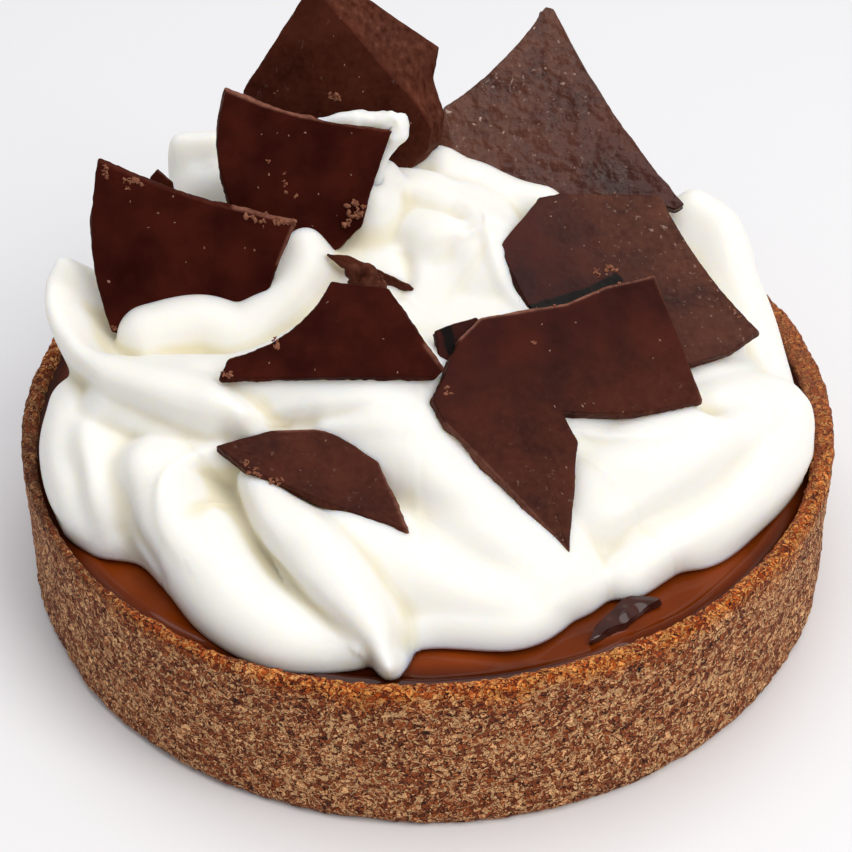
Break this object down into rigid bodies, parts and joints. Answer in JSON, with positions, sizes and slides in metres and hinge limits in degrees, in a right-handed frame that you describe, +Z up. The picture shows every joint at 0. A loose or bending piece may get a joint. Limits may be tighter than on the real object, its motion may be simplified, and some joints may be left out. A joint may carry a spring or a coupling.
{
  "type": "banoffee pie",
  "caption": "Small round banoffee pie: straight-sided cocoa biscuit crust filled with caramel, heaped with folded whipped cream and dark chocolate shards",
  "frame": {"origin": "centre of the crust's flat underside, on the surface the pie stands on", "axes": "+Z is up along the crust's axis, -Y points to the viewer of the picture, +X to the viewer's right"},
  "size_m": [0.1, 0.1, 0.0626],
  "materials": {
    "cocoa_biscuit": "matt, crumbly baked biscuit",
    "caramel": "wet gloss",
    "whipped_cream": "soft satin",
    "dark_chocolate": "satin with scuffs and crumbs",
    "wet_chocolate": "wet gloss"
  },
  "bodies": {
    "root": {"crust": "cocoa_biscuit", "caramel": "caramel", "cream": "whipped_cream", "shard_tall_back": "dark_chocolate", "shard_upper_left": "dark_chocolate", "shard_left": "dark_chocolate", "shard_middle": "dark_chocolate", "shard_back_right": "dark_chocolate", "shard_right": "dark_chocolate", "shard_front_right": "dark_chocolate", "shard_front_left": "dark_chocolate", "shard_sliver": "dark_chocolate", "shard_underneath": "dark_chocolate", "shard_tip": "dark_chocolate", "chocolate_lump": "dark_chocolate", "floating_piece": "wet_chocolate"}
  },
  "joints": []
}
